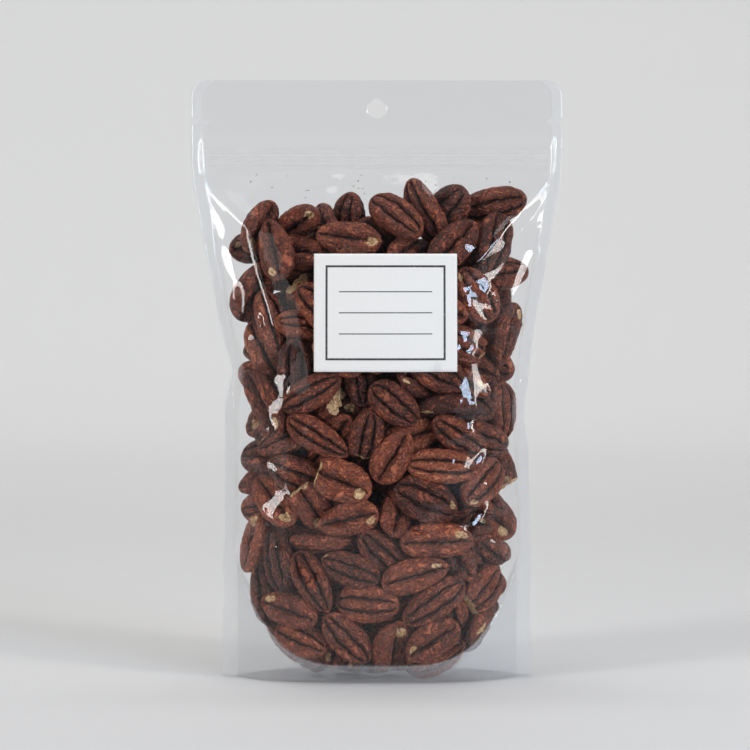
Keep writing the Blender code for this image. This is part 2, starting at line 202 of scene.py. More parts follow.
def make_backdrop():
    """A floor that curves up into a wall all round, as one turned shape."""
    work = bmesh.new()
    run = [work.verts.new((x, 0, -FLOOR_DROP)) for x in (0.001, FLOOR_RADIUS)]
    work.edges.new(run)
    bend = bmesh.ops.spin(work, geom=[run[1]], cent=(FLOOR_RADIUS, 0, BEND), axis=(0, -1, 0),
                          angle=math.radians(90), steps=16)["geom_last"]
    rim = [v for v in bend if isinstance(v, bmesh.types.BMVert)]
    top = bmesh.ops.extrude_vert_indiv(work, verts=rim)["verts"]
    bmesh.ops.translate(work, verts=top, vec=(0, 0, WALL_ABOVE))
    bmesh.ops.spin(work, geom=work.verts[:] + work.edges[:], cent=(0, 0, 0), axis=(0, 0, 1),
                   angle=math.tau, steps=96, use_merge=True)
    bmesh.ops.remove_doubles(work, verts=work.verts, dist=0.0005)
    bmesh.ops.recalc_face_normals(work, faces=work.faces)
    if sum(face.normal.z for face in work.faces if face.calc_center_median().z < 0.01) < 0:
        bmesh.ops.reverse_faces(work, faces=work.faces)
    obj = object_from(work, "backdrop", backdrop_paper())
    return obj


backdrop = make_backdrop()
print("backdrop spans, m:", [round(v, 2) for v in backdrop.dimensions])

# %% [markdown]
# ## Lights
# The light is soft from all round. The film mirrors its surroundings, so each lamp's shape
# matters: a cool window on the right gives the blue patches, and tall soft boxes at both sides
# give the long pale streaks. The lamps themselves stay out of the picture.

# %% Lights
def soft_box(name, place, aim, width, height, power, colour, spread=180):
    lamp = bpy.data.lights.new(name, "AREA")
    lamp.shape, lamp.size, lamp.size_y = "RECTANGLE", width, height
    lamp.energy, lamp.color, lamp.spread = power, colour, math.radians(spread)
    obj = bpy.data.objects.new(name, lamp)
    obj.location = place
    obj.rotation_euler = (Vector(aim) - Vector(place)).to_track_quat("-Z", "Y").to_euler()
    obj.visible_camera = False
    bpy.context.scene.collection.objects.link(obj)
    return obj


LOW = (0, 0, 0.15)     # what the side lamps are aimed at
lamps = [
    soft_box("overhead", (-0.1, -0.1, 2.0), (0, 0.05, 0.1), 1.4, 0.9, 13, (1, 0.99, 0.97)),
    soft_box("wall_light", (0, 0.5, 2.1), (0, 1.9, 0.5), 2.0, 0.5, 15.5, (1, 0.995, 0.99)),
    soft_box("left_strip", (-1.27, -0.77, 0.58), LOW, 0.26, 1.1, 5.5, (1, 0.985, 0.97), 120),
    soft_box("left_panel", (-1.15, -1.3, 0.65), LOW, 0.6, 1.0, 0.9, (1, 0.99, 0.98), 120),
    soft_box("right_strip", (1.27, -0.77, 0.58), LOW, 0.22, 1.1, 4.9, (1, 0.965, 0.94), 120),
    soft_box("right_panel", (1.45, -0.95, 0.65), LOW, 0.45, 1.0, 0.9, (0.95, 0.97, 1), 120),
    soft_box("window", (1.1, -1.2, 0.55), LOW, 0.32, 0.42, 3.7, (0.6, 0.77, 1), 120),
]
world = bpy.data.worlds.new("studio")
world.use_nodes = True
world.node_tree.nodes["Background"].inputs["Color"].default_value = (0.96, 0.98, 1, 1)
world.node_tree.nodes["Background"].inputs["Strength"].default_value = 0.13
bpy.context.scene.world = world
bpy.context.scene.view_settings.view_transform = "Standard"
bpy.context.scene.cycles.transparent_max_bounces = 24
print("lamps:", len(lamps), " watts in all:", round(sum(lamp.data.energy for lamp in lamps), 1))

# %% [markdown]
# ## The pouch's shape
# These are the same few driving sizes and formulas that the solids were made from: how wide and
# how deep the belly is at each height, the U-shaped weld at the bottom, and the base sheet
# pressed down by the contents. They work in millimetres, on single numbers and whole arrays.

# %% Shape of the pouch
HEIGHT, SIDE_SEAL, TOP_CORNER = 290, 6, 8
WIDTH_AT = (     # height, then half the width
    (0, 76), (60, 75.5), (120, 75), (150, 75), (170, 77), (200, 82.5), (240, 89), (252, 90), (290, 90),
)
DEPTH_AT = (     # height, then how far out the belly reaches
    (0, 25.5), (4, 25.5), (30, 30), (60, 32), (100, 31.5), (140, 30), (180, 26.5), (210, 21),
    (235, 11), (246, 2.4), (258, 2.4), (266, 0.4), (290, 0.4),
)
ZIP_WALL_AT = ((238, 0), (246, 2.4), (258, 2.4), (266, 0))
ZIP_HEIGHT = 252
BELLY_SQUARENESS = 0.9
SEAL_LOW, SEAL_RISE, SEAL_HALF = 9, 47, 68
GUSSET_SAG, FILM = 14, 0.3


def table(at):
    return [row[0] for row in at], [row[1] for row in at]


def half_width(z):
    return np.interp(z, *table(WIDTH_AT))


def half_depth(x, z):
    u = np.clip(x / (half_width(z) - SIDE_SEAL), -1, 1)
    uu = u * u
    return np.interp(z, *table(DEPTH_AT)) * (1 - uu) * (1 + BELLY_SQUARENESS * uu)


def drawn_in(x, z):
    """The belly's depth, drawn in a little at the foot."""
    return half_depth(x, z) * (1 - 0.25 * np.clip(1 - z / 9, 0, 1) ** 2)


def seal_height(x):
    u = x / SEAL_HALF
    return SEAL_LOW + SEAL_RISE * u * u * u * u


def bottom_height(x, y):
    rim = seal_height(x)
    v = np.clip(y / (half_depth(x, rim) + 0.1), -1, 1)
    u = np.clip(x / SEAL_HALF, -1, 1)
    sag = 1 - v * v
    return np.maximum(rim - GUSSET_SAG * sag * sag * (1 - u * u), FILM)


print("belly, mm across and deep:", 2 * half_width(110), 2 * round(float(half_depth(0, 60)), 1))

# %% [markdown]
# ## Packing the halves
# Real halves tumble in and settle against each other and the film. Here each one is five pairs
# of balls in a row, thrown in at random and then nudged off its neighbours and off the film
# until nothing overlaps. It is plain geometry with a fixed seed, so each front half lies
# within half a millimetre of its solid.

# %% Pack
HALVES, FRONT_HALVES = 254, 46
BALLS = ((-12.4, 1.0, 3.9), (-6.4, 2.7, 4.6), (0.0, 3.3, 4.9), (6.4, 2.7, 4.6), (12.4, 1.0, 3.9))
BALL_CLEAR, PACK_STEPS, SETTLE, PACK_SEED = 0.35, 1100, 0.05, 7


def dot(a, b):
    return a[..., 0] * b[..., 0] + a[..., 1] * b[..., 1] + a[..., 2] * b[..., 2]


def cross(a, b):
    return np.stack((a[..., 1] * b[..., 2] - a[..., 2] * b[..., 1],
                     a[..., 2] * b[..., 0] - a[..., 0] * b[..., 2],
                     a[..., 0] * b[..., 1] - a[..., 1] * b[..., 0]), -1)


def unit(a):
    return a / np.sqrt(dot(a, a))[..., None]


def scatter(count, chance):
    """Random starting places, lengthwise and crosswise directions, and sizes."""
    place, along, up, size = [], [], [], []
    while len(place) < count:
        x, y, z = chance.uniform(-70, 70), chance.uniform(-30, 30), chance.uniform(12, 236)
        if abs(y) > half_depth(x, z) - 3 or z < bottom_height(x, y) + 4:
            continue
        turn = math.radians(chance.gauss(0, 42))
        place.append((x, y, z))
        along.append((math.cos(turn), chance.gauss(0, 0.18), math.sin(turn)))
        up.append((chance.gauss(0, 0.3), chance.choice((-1, 1)), chance.gauss(0, 0.3)))
        size.append(chance.uniform(0.9, 1.1))
    place, along, up, size = (np.round(np.array(a, float), 6) for a in (place, along, up, size))
    along = unit(along)
    return place, along, unit(cross(up, along)), size


def wall_pushes(points, radius):
    """Moves that bring balls back inside the film and above the base, and which balls they are."""
    x, y, z = points[..., 0], points[..., 1], points[..., 2]
    near = 0.5
    slope_x = (half_depth(x + near, z) - half_depth(x - near, z)) / (2 * near)
    slope_z = (half_depth(x, z + near) - half_depth(x, z - near)) / (2 * near)
    steep = np.sqrt(1 + slope_x * slope_x + slope_z * slope_z)
    over = np.clip(np.abs(y) - half_depth(x, z) + radius * steep, 0, 20) / steep
    side = np.where(y > 0, 1.0, -1.0)
    move = np.stack((slope_x, -side, slope_z), -1) * (over / steep)[..., None]
    slope_x = (bottom_height(x + near, y) - bottom_height(x - near, y)) / (2 * near)
    slope_y = (bottom_height(x, y + near) - bottom_height(x, y - near)) / (2 * near)
    steep = np.sqrt(1 + slope_x * slope_x + slope_y * slope_y)
    under = np.clip(bottom_height(x, y) - z + radius * steep, 0, 20) / steep
    move += np.stack((-slope_x, -slope_y, np.ones_like(x)), -1) * (under / steep)[..., None]
    return move, (over > 0).astype(float) + (under > 0)


def add_up(count, index, vectors):
    sums = [np.bincount(index, weights=vectors[:, axis], minlength=count) for axis in range(3)]
    return np.stack(sums, -1)


def pack_halves():
    place, along, across, size = scatter(HALVES, random.Random(PACK_SEED))
    rows = [(x, side * y, r) for x, y, r in BALLS for side in (-1, 1)]
    offset = np.array([row[:2] for row in rows])[None] * size[:, None, None]
    radius = np.array([row[2] for row in rows])[None] * size[:, None] + BALL_CLEAR
    balls, reach = radius.size, radius.ravel()
    for step in range(PACK_STEPS):
        arm = offset[..., 0:1] * along[:, None] + offset[..., 1:2] * across[:, None]
        ball = place[:, None] + arm
        flat = ball.reshape(-1, 3)
        if step % 8 == 0:
            # Only balls this close can meet in the next few steps.
            apart = place[:, None] - place[None]
            first, second = np.nonzero(np.triu(dot(apart, apart) < 38 * 38, 1))
            gap = ball[first][:, :, None] - ball[second][:, None]
            limit = radius[first][:, :, None] + radius[second][:, None] + 2.5
            pair, of_first, of_second = np.nonzero(dot(gap, gap) < limit * limit)
            one, other = first[pair] * len(rows) + of_first, second[pair] * len(rows) + of_second
        gap = flat[one] - flat[other]
        far = np.sqrt(dot(gap, gap)) + 1e-9
        deep = np.maximum(reach[one] + reach[other] - far, 0)
        push = gap * (0.5 * deep / far)[:, None]
        met = (deep > 0).astype(float)
        move, touching = wall_pushes(ball, radius)
        move = move + (add_up(balls, one, push) - add_up(balls, other, push)).reshape(ball.shape)
        meetings = np.bincount(one, met, balls) + np.bincount(other, met, balls)
        touching = touching + meetings.reshape(touching.shape)
        shift, spin = np.zeros_like(place), np.zeros_like(place)
        contacts, inertia = np.zeros(len(place)), np.zeros(len(place))
        for k in range(len(rows)):
            shift += move[:, k]
            spin += cross(arm[:, k], move[:, k])
            contacts += touching[:, k]
            inertia += touching[:, k] * dot(arm[:, k], arm[:, k])
        place = place + 1.6 * shift / np.maximum(contacts, 1)[:, None]
        turn = 1.6 * spin / (inertia + 60)[:, None]
        place[:, 2] -= SETTLE * max(1 - step / (0.5 * PACK_STEPS), 0)
        along = unit(along + cross(turn, along))
        across = across + cross(turn, across)
        across = unit(across - along * dot(along, across)[:, None])
    return place, along, across, size


place, along, across, size = pack_halves()
up = cross(along, across)
from_film = place[:, 1] + half_depth(place[:, 0], place[:, 2])
nearest = np.argsort(from_film, kind="stable")[:FRONT_HALVES]
front = sorted(nearest, key=lambda i: (-round(float(place[i, 2]) / 24), float(place[i, 0])))
off = 0
for number, i in enumerate(front, 1):
    low, high = (np.array(corner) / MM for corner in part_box(f"pecan_half_{number:02d}"))
    off = max(off, float(np.abs((low + high) / 2 - place[i]).max()))
print("halves:", len(place), " furthest a front half's middle is from its solid's, mm:", round(off, 2))

# %% [markdown]
# ## Sculpting a pecan half
# A half has a domed outer side with two deep wavy grooves, which leave a narrow ridge between
# two broad lobes, and a flatter inner side with one channel down the middle. The skin is
# puckered, and it is missing in cream patches, most often near one end of the inner side,
# where the two halves were joined. Each shape starts as a ball of even triangles, because that
# has no poles to pinch, and every corner is then moved by a few smooth rules. Two dozen
# shapes are enough, since each lies its own way round in the pouch.

# %% One half
LONG, WIDE, DOME, BELLY = 16.8, 8.4, 5.9, 4.2     # half length, half width, outer and inner heights
BROKEN_ENDS = {3: 0.55, 14: -0.68}     # two of the shapes are broken off, this far along


def wobble(x, y, z=0.0):
    """Smooth noise from -1 to 1."""
    return noise.noise(Vector((x, y, z)))


def puffs(x, y, z=0.0):
    """Rounded bumps with sharp creases between them, about 0 on average."""
    return abs(wobble(x, y, z)) * 2.4 - 0.6


def bare_patches(chance):
    """Where on the ball the skin is missing, and how wide each patch is."""
    patches = []
    if chance.random() < 0.8:
        end = chance.choice((-1, 1)) * chance.uniform(0.55, 0.8)
        patches.append(((end, chance.uniform(-0.45, 0.45), -0.6), chance.uniform(0.24, 0.36)))
    for _ in range(chance.choice((0, 0, 1, 1, 2))):
        end = chance.choice((-1, 1)) * chance.uniform(0.5, 1)
        centre = (end, chance.uniform(-0.6, 0.6), chance.uniform(-0.2, 0.7))
        patches.append((centre, chance.uniform(0.16, 0.3)))
    return [(Vector(centre).normalized(), radius) for centre, radius in patches]


def bareness(patches, start, spot, seed):
    """0 under whole skin, 1 where it is missing."""
    x, y, z = spot
    rough = 0.08 * wobble(x * 0.4, y * 0.4, z * 0.4 + seed)
    bare = 0
    for centre, radius in patches:
        off = Vector(((start.x - centre.x) * 0.9, start.y - centre.y, start.z - centre.z)).length
        bare = max(bare, min(max((radius + rough - off) / 0.1, 0), 1))
    return bare


def outer_side(x, y, s, edge, body, fade, spread, plump, hand, seed):
    """The domed side's height, how far a groove is, and how deep it cuts here."""
    sway = 0.08 * wobble(x * 0.2, 7 * hand, seed) + 0.03 * wobble(x * 0.6, 3 * hand, seed)
    path = edge * (spread + sway)
    lane = abs(y) - path
    z = DOME * plump * body * s ** 0.85 - 0.6 * body * math.exp(-((y / (path * 0.8 + 0.1)) ** 2))
    groove = 1.3 * math.exp(-((lane / 1.5) ** 2)) + 1.7 * math.exp(-((lane / 0.65) ** 2))
    cut = body * fade * min(s * 1.6, 1) * groove
    lumps = 0.55 * puffs(x * 0.17, y * 0.12, seed + 9) + 0.5 * puffs(x * 0.36, y * 0.2, seed + 2)
    z += body * s ** 0.5 * lumps - cut * (0.85 + 0.4 * wobble(x * 0.35, hand, seed + 5))
    return z, lane, cut


def inner_side(x, y, s, edge, body, fade, seed):
    """The same for the flatter side and its one channel."""
    lane = abs(y + 0.9 * wobble(x * 0.22, 1, seed))
    z = -BELLY * body * (-s) ** 0.6 - 0.7 * body * math.exp(-(((lane - 0.5 * edge) / 2.0) ** 2))
    channel = 1.5 * math.exp(-((lane / 1.8) ** 2)) + 1.1 * math.exp(-((lane / 0.7) ** 2))
    cut = body * fade * channel
    lumps = 0.6 * puffs(x * 0.16, y * 0.2, seed + 11) + 0.6 * puffs(x * 0.33, y * 0.12, seed + 3)
    z += cut - body * lumps * (-s) ** 0.5
    return z, lane, cut


def sculpt_half(seed, subdivisions):
    """A half in millimetres, lengthwise along X and domed towards +Z.

    Its corners keep what the finish needs: how far the nearest groove is and how deep it cuts,
    whether the skin is missing, and where the corner lay before the half was placed.
    """
    chance = random.Random(seed)
    long = LONG * chance.uniform(0.86, 1.06)
    wide = WIDE * (1.0 + 0.9 * (1 - long / LONG)) * chance.uniform(0.92, 1.06)
    taper, curl = chance.uniform(-0.2, 0.2), chance.uniform(0.003, 0.008)
    plump, spread = chance.uniform(0.92, 1.08), chance.uniform(0.3, 0.4)
    broken = BROKEN_ENDS.get(seed)
    patches = bare_patches(chance)
    work = bmesh.new()
    bmesh.ops.create_icosphere(work, subdivisions=subdivisions, radius=1)
    lane_of = work.verts.layers.float.new("lane")
    groove_of = work.verts.layers.float.new("groove")
    scar_of = work.verts.layers.float.new("scar")
    rest_of = work.verts.layers.float_vector.new("rest")
    for vert in work.verts:
        start = vert.co.copy()
        t, c, s = start     # along, across and up, on the ball
        girth = math.sqrt(max(1 - t * t, 1e-6))
        c, s = c / girth, s / girth
        x = long * t
        hand = math.copysign(1, c)
        edge = wide * (1 - abs(t) ** 2.4) ** 0.55 * (1 + taper * t) + 1e-6
        edge *= 1 + 0.06 * wobble(x * 0.14, 3 * hand, seed) + 0.045 * puffs(x * 0.24, 9 * hand, seed)
        y = edge * hand * abs(c) ** 0.92
        body = (1 - t * t) ** 0.42
        fade = min(max((1 - abs(t)) / 0.14, 0), 1)
        if s > 0:
            z, lane, cut = outer_side(x, y, s, edge, body, fade, spread, plump, hand, seed)
        else:
            z, lane, cut = inner_side(x, y, s, edge, body, fade, seed)
        z -= curl * x * x
        bare = bareness(patches, start, (x, y, z), seed)
        spot = Vector((x, y, z)) * (1 - 0.06 * bare)
        if broken:
            ragged = 2.2 * wobble(y * 0.25, z * 0.25, seed)
            over = spot.x * math.copysign(1, broken) - abs(broken) * long - ragged
            if over > 0:
                spot.x -= math.copysign(over * 0.85, broken)
                bare = max(bare, min(over / 0.7, 1))
        vert.co = spot
        vert[lane_of] = lane + 3 * (1 - fade)
        vert[groove_of] = min(cut / 3, 1)
        vert[scar_of] = bare
        vert[rest_of] = spot + Vector((seed * 41.0, 0, 0))
    mesh = bpy.data.meshes.new(f"half_shape_{seed}")
    work.to_mesh(mesh)
    work.free()
    return mesh


SHAPES, FINE, COARSE = 24, 5, 4
shapes = {level: [sculpt_half(seed, level) for seed in range(SHAPES)] for level in (FINE, COARSE)}
counts = [len(shapes[level][0].polygons) for level in (FINE, COARSE)]
print("triangles in a half, near and hidden:", counts)

# %% [markdown]
# ## The kernel's finish
# The skin runs from chestnut on the crests to nearly black in the grooves, where the dark is painted shade.
# It is drawn into fine puckers, some lengthwise and some crosswise, too small for the mesh: they are noise
# folded about its middle value, which gives rounded cushions between sharp creases, and they feed the bump
# and also the colour, as painted shade in the creases and painted light on the cushions; the pimples, small
# lumps of the bump, lighten the colour where they rise in the same way, beside random tone and clouds. Each
# groove also has a thin crack along its floor, from the distance to the groove that the mesh keeps, painted
# dark as shade. Where the skin is missing, the kernel is matt cream. Every pattern reads the half's own
# unmoved coordinates, so it follows the half however it lies.

# %% Kernel finish
def kernel_finish():
    skin = Finish("pecan_skin")
    tone, groove, scar = skin.attribute("tone"), skin.attribute("groove"), skin.attribute("scar")
    rest = skin.attribute("rest", "Vector")
    apart = skin.add("CombineXYZ", None, {1: tone * 90.0, 2: tone * 37.0})
    own = skin.add("VectorMath", {"operation": "ADD"}, {0: rest, 1: apart})
    sway = skin.add("TexNoise", None, {"Vector": own, "Scale": 0.2, "Detail": 1.0}, 1)
    bent = skin.add("VectorMath", {"operation": "MULTIPLY_ADD"}, {0: sway, 1: (9, 7, 7), 2: own})

    def folds(scale):
        stretched = skin.add("Mapping", None, {"Vector": bent, "Scale": scale})
        return (skin.noise(stretched, 1.0, 2.0, 0.6) - 0.5).maths("ABSOLUTE") * 2.0

    along_folds, cross_folds = folds((0.12, 0.3, 0.3)), folds((0.3, 0.16, 0.16))
    pucker = along_folds.maths("MINIMUM", cross_folds + 0.06).between(0.0, 0.26)
    pimples = skin.noise(own, 0.7, 3.0, 0.65)
    grain = skin.noise(own, 2.2, 2.0, 0.6)
    clouds = skin.noise(own, 0.12, 3.0, 0.55)
    from_crack = (skin.attribute("lane") + (pimples - 0.5) * 1.6).maths("ABSOLUTE")
    crack = 1.0 - from_crack.between(0.1, 0.6)
    # Random tone and clouds, with painted light and shade of the relief: pucker creases and low pimples
    # darker, cushions and high pimples lighter.
    tone_and_painted_relief = (tone * 0.5 + clouds * 0.6 + pucker * 0.42 + pimples * 0.9 - 0.88).clamped()
    browns = (
        (0.0, (0.055, 0.013, 0.008)), (0.3, (0.22, 0.05, 0.024)),
        (0.66, (0.5, 0.135, 0.06)), (1.0, (0.78, 0.3, 0.15)),
    )
    colour = skin.add("ValToRGB", {"stops": browns}, {0: tone_and_painted_relief})
    # Painted shade: the grooves and the cracks along their floors darken to nearly black.
    painted_groove_shade = (groove * 1.1 + crack * 0.75).clamped()
    colour = skin.mix(painted_groove_shade * 0.9, colour, (0.018, 0.007, 0.005, 1))
    cream = skin.mix(pimples.between(0.35, 0.65), (0.5, 0.25, 0.1, 1), (0.88, 0.62, 0.34, 1))
    ragged = (scar + (pimples - 0.5) * 0.9 + (grain - 0.5) * 0.6).between(0.4, 0.6)
    colour = skin.mix(ragged, colour, cream)
    height = pucker * 0.8 + pimples * 0.9 + grain * 0.15 - crack * 0.6
    surface = skin.add("BsdfPrincipled", None, {
        "Base Color": colour,
        "Roughness": (0.36 + grain * 0.25 + ragged * 0.25).clamped(),
        "Specular IOR Level": 0.45,
        "Normal": skin.bump(height, 1.0, 0.0014),
    })
    return skin.done(surface)


kernel = kernel_finish()
print("kernel finish, nodes:", len(kernel.node_tree.nodes))

# %% [markdown]
# ## Laying out the halves
# The halves against the front film are separate pieces, one for each of their solids. The rest
# are joined in groups: front, middle and back of each height, for the five plain solids that
# fill the pouch behind. A half that nothing can see gets the coarser mesh.

# %% Place the halves
HIDDEN_BEHIND, HIDDEN_BELOW = 21, 205     # mm in from both films, and not in the top layer
FILL_BLOCKS, LAYERS = 5, ("front", "middle", "back")


def stand(i):
    """Turns a shape, in millimetres, into half i's place in the pouch."""
    turn = Matrix((along[i], across[i], up[i])).transposed().to_4x4()
    return Matrix.Translation(Vector(place[i]) * MM) @ turn @ Matrix.Scale(float(size[i]) * MM, 4)


def lay_out(name, indices):
    """One object made of these halves, each with its own tone."""
    work = bmesh.new()
    work.verts.layers.float.new("tone")
    for i in indices:
        hidden = min(from_film[i], from_back[i]) > HIDDEN_BEHIND and place[i, 2] < HIDDEN_BELOW
        before = len(work.verts)
        work.from_mesh(shapes[COARSE if hidden else FINE][i * 7 % SHAPES])
        work.verts.ensure_lookup_table()
        tone_of = work.verts.layers.float["tone"]
        added = work.verts[before:]
        bmesh.ops.transform(work, matrix=stand(i), verts=added)
        for vert in added:
            vert[tone_of] = tones[i]
    obj = object_from(work, name, kernel)
    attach(obj, "root")
    return obj


from_back = half_depth(place[:, 0], place[:, 2]) - place[:, 1]
chance = random.Random(11)
tones = [min(max(chance.gauss(0.5, 0.2), 0), 1) for _ in range(len(place))]
half_pieces = []
for number, i in enumerate(front, 1):
    piece = lay_out(f"half_{number:02d}", [i])
    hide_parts(f"pecan_half_{number:02d}")
    half_pieces.append(piece)
chosen = set(int(i) for i in front)
tops = [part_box(f"pecan_fill_{block}")[1][2] / MM for block in range(1, FILL_BLOCKS + 1)]
limits = [-99] + tops[:-1] + [999]
for block, (lowest, highest) in enumerate(zip(limits, limits[1:]), 1):
    storey = [i for i in range(len(place)) if i not in chosen and lowest < place[i, 2] <= highest]
    storey.sort(key=lambda i: place[i, 1])
    share = -(-len(storey) // len(LAYERS))
    for part, word in enumerate(LAYERS):
        piece = lay_out(f"halves_{word}_{block}", storey[part * share:(part + 1) * share])
        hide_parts(f"pecan_fill_{block}")
        half_pieces.append(piece)
print("pieces:", len(half_pieces), " triangles:", sum(len(p.data.polygons) for p in half_pieces))

# %% [markdown]
# ## Clear film, drawn over the halves
# The film is thin and stiff. Between the halves it spans in shallow hollows, it rests on their
# high points, and creases run in from the top corners, where the flat header turns into the
# full belly. A cloth solver would need the halves as colliders and minutes of time. A stretched
# sheet over bumps is a simpler sum: let each point of a fine grid drift to the mean of its
# neighbours, and lift it wherever a half is in the way. A few rounds of wider smoothing give
# the stiffness. The creases, sharp ridges, come after that, and last the folds, each with one
# flat side turned to mirror a lamp.

# %% Draw the film
COLUMNS, ROW_STEP = 150, 1.25
HEADER_FOOT, MOST_OUT, MOST_IN = 244, 3.0, 6     # where the header begins, and how far the film gives
PINCHES = {-1: (152, 3.2), 1: (128, 2.6)}     # where each side is drawn in, and how deep
CREASES = (  # a line of x and z places, then its height and half width, all in mm
    (((-62, 219), (-48, 213), (-40, 214)), 1.4, 3.0), (((-80, 212), (-70, 176), (-62, 158)), 2.4, 7.0),
    (((80, 212), (68, 184), (70, 160)), 2.2, 6.0), (((-72, 156), (-60, 146), (-46, 142)), 2.2, 5.0),
    (((58, 118), (50, 104), (44, 100)), 1.8, 4.0), (((-70, 84), (-58, 78), (-50, 66)), 1.8, 5.0),
    (((-72, 112), (-58, 108), (-50, 98)), 1.6, 4.4), (((68, 92), (54, 84), (46, 70)), 1.6, 4.6),
    (((-20, 240), (-34, 216)), 1.2, 5.0), (((22, 240), (34, 214)), 1.2, 5.0),
)
# Sharp folds: a line, its lift, which side of it lies flat, how wide, and that side's slopes in x and z.
FLANKS = (
    (((-84, 240), (-72, 229), (-61, 218), (-57, 203), (-50, 180), (-43, 150)), 2.2, -1, 4.6, (0.5, 0.05)),
    (((82, 239), (70, 229), (57, 214), (45, 200), (40, 190)), 3.0, 1, 7.5, (-0.5, 0.06)),
    (((40, 193), (43, 180), (54, 170), (70, 174)), 0.8, 1, 4.2, (-0.36, -0.16)),
    (((74, 130), (60, 117), (44, 124), (30, 117)), 0.8, 1, 4.0, (-0.36, -0.12)),
    (((70, 52), (65, 38), (57, 26), (47, 17)), 0.8, 1, 2.2, (-0.5, -0.1)),
)


def edge_at(z, hand):
    """Half the pouch's width on one side, with its round top corner, tear notch, and a wavy, pinched side."""
    edge = float(half_width(z))
    slack = min(max((236 - z) / 30, 0), 1) * min(z / 40, 1)
    edge += slack * (0.8 * wobble(z * 0.045, 4.0 * hand) - 0.8)
    middle, deep = PINCHES[hand]
    edge -= deep * math.exp(-(((z - middle) / 13) ** 2))
    over = z - (HEIGHT - TOP_CORNER)
    if over > 0:
        edge -= TOP_CORNER - math.sqrt(max(TOP_CORNER ** 2 - over ** 2, 0))
    return edge - 3 * max(1 - abs(z - 270) / 1.7, 0)


def film_heights():
    even = [k * ROW_STEP for k in range(int(266 / ROW_STEP))]
    header = [267, 268.3, 269.15, 270, 270.85, 271.7, 272.6] + [274 + 1.3 * k for k in range(6)]
    angles = (0, 10, 20, 31, 43, 56, 70, 82, 88.5)
    corner = [HEIGHT - TOP_CORNER + TOP_CORNER * math.sin(math.radians(a)) for a in angles]
    return np.array(even + header + corner)


def film_grid():
    heights = film_heights()
    steps = np.linspace(-1, 1, COLUMNS)
    left, right = (np.array([edge_at(z, hand) for z in heights]) for hand in (-1, 1))
    X = np.where(steps < 0, left[:, None], right[:, None]) * steps[None]
    return X, np.repeat(heights[:, None], COLUMNS, 1)


def grid_place(X, Z, x, z):
    """Row and column numbers, with fractions, of places on the grid."""
    row = np.interp(z, Z[:, 0], np.arange(len(Z)))
    near = np.clip(np.round(row).astype(int), 0, len(Z) - 1)
    edge = np.where(x < 0, -X[near, 0], X[near, -1])
    return row, (np.clip(x / edge, -1, 1) + 1) / 2 * (X.shape[1] - 1)


def highest_points(side, X, Z):
    """How far out the halves reach towards one film, at each place of the grid."""
    reach = np.full(X.shape, -99.0)
    for piece in half_pieces:
        co = np.empty(len(piece.data.vertices) * 3, np.float32)
        piece.data.vertices.foreach_get("co", co)
        co = co.reshape(-1, 3).astype(float) / MM
        co = co[side * co[:, 1] > 0]
        row, column = grid_place(X, Z, co[:, 0], co[:, 2])
        np.maximum.at(reach, (np.round(row).astype(int), np.round(column).astype(int)), side * co[:, 1])
    wide = reach.copy()
    for dr, dc in ((0, 1), (0, -1), (1, 0), (-1, 0)):
        wide = np.maximum(wide, np.roll(reach, (dr, dc), (0, 1)) - 0.2)
    return wide + 0.25


def crease_lift(X, Z, side):
    lift = np.zeros(X.shape)
    for line, height, width in CREASES:
        for (x1, z1), (x2, z2) in zip(line, line[1:]):
            if side > 0:
                x1, x2 = -x1, -x2
            length = (x2 - x1) ** 2 + (z2 - z1) ** 2
            part = np.clip(((X - x1) * (x2 - x1) + (Z - z1) * (z2 - z1)) / length, 0, 1)
            away = np.sqrt((X - x1 - part * (x2 - x1)) ** 2 + (Z - z1 - part * (z2 - z1)) ** 2)
            fade = np.clip(np.minimum(np.abs(Z - line[0][1]), np.abs(Z - line[-1][1])) / 6, 0.25, 1)
            lift = np.maximum(lift, height * fade * np.clip(1 - away / width, 0, 1))
    return lift


def on_grid(values, X, Z, x, z):
    """Values read between the grid's points."""
    row, column = grid_place(X, Z, x, z)
    r, c = np.minimum(row.astype(int), len(Z) - 2), np.minimum(column.astype(int), X.shape[1] - 2)
    fr, fc = row - r, column - c
    left = values[r, c] * (1 - fr) + values[r + 1, c] * fr
    right = values[r, c + 1] * (1 - fr) + values[r + 1, c + 1] * fr
    return left * (1 - fc) + right * fc


def fold_flanks(X, Z, depth, side):
    """Sharp folds, one side of each a flat strip that mirrors a lamp along its whole length."""
    folded = depth.copy()
    for line, lift, hand, width, slope in FLANKS:
        line = np.array(line, float) * (-side, 1)
        hand, slope = hand * -side, (slope[0] * -side, slope[1])
        total = len(line) - 1
        best = np.full(X.shape, 1e9)
        value = depth.copy()
        for number, (start, end) in enumerate(zip(line, line[1:])):
            run = end - start
            length = math.hypot(*run)
            part = np.clip(((X - start[0]) * run[0] + (Z - start[1]) * run[1]) / length ** 2, 0, 1)
            px, pz = start[0] + part * run[0], start[1] + part * run[1]
            away = np.hypot(X - px, Z - pz)
            turned = np.where(run[0] * (Z - pz) - run[1] * (X - px) > 0, 1, -1) * hand
            bow = np.sin(math.pi * np.clip((number + part) / total, 0.03, 0.97)) ** 0.6
            reach = width * bow + 0.01
            ridge = on_grid(depth, X, Z, px, pz) + lift * bow
            strip = ridge + (X - px) * slope[0] + (Z - pz) * slope[1]
            other = depth + np.clip(1 - away / 2.5, 0, 1) * lift * bow
            tail = np.clip((away - reach) / 2.0, 0, 1)
            here = np.where(turned > 0, strip * (1 - tail) + depth * tail, other)
            nearer = away < best
            best = np.where(nearer, away, best)
            value = np.where(nearer & (away < reach + 2.5), here, np.where(nearer, depth, value))
        folded = np.where(np.abs(value - depth) > np.abs(folded - depth), value, folded)
    return folded


